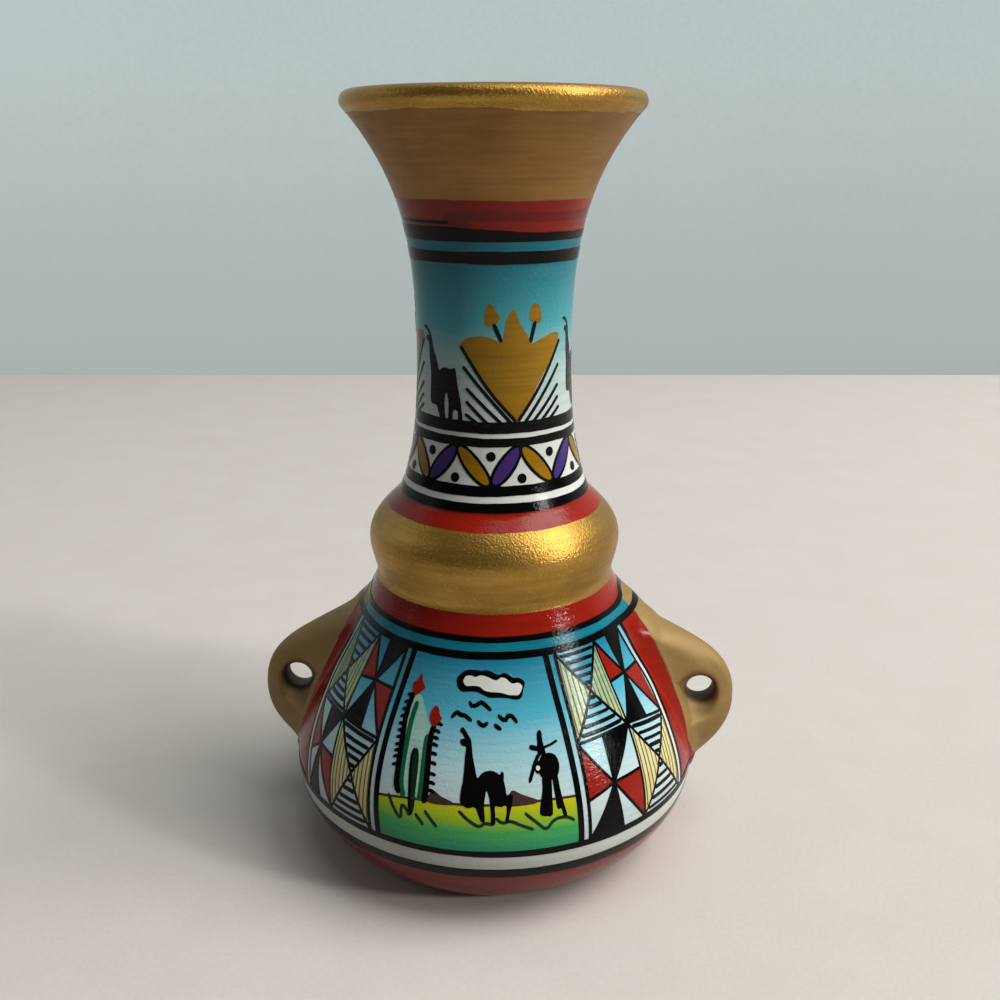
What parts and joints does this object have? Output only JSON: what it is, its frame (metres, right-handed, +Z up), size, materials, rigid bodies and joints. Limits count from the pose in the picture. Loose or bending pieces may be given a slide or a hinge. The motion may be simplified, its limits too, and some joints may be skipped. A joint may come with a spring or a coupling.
{
  "type": "terracotta vase",
  "caption": "Painted terracotta vase with a low wide belly, a bulging collar, a tall waisted neck with a flared lip, and pierced lugs on its sides.",
  "frame": {"origin": "middle of the flat base, where the vase stands", "axes": "+Z up along the turning axis, X through the two lugs, the picture side facing -Y"},
  "size_m": [0.0954, 0.0794, 0.14],
  "materials": {
    "belly_paint": "terracotta, painted in bands and pictures under a brushed varnish",
    "collar_gold": "terracotta under bright speckled gold paint",
    "neck_paint": "terracotta, painted in bands under a brushed varnish, with a gold throat and lip",
    "lug_gold": "terracotta under a dull gold wash"
  },
  "bodies": {
    "root": {"belly": "belly_paint", "collar": "collar_gold", "neck": "neck_paint", "lug_left": "lug_gold", "lug_right": "lug_gold"}
  },
  "joints": []
}
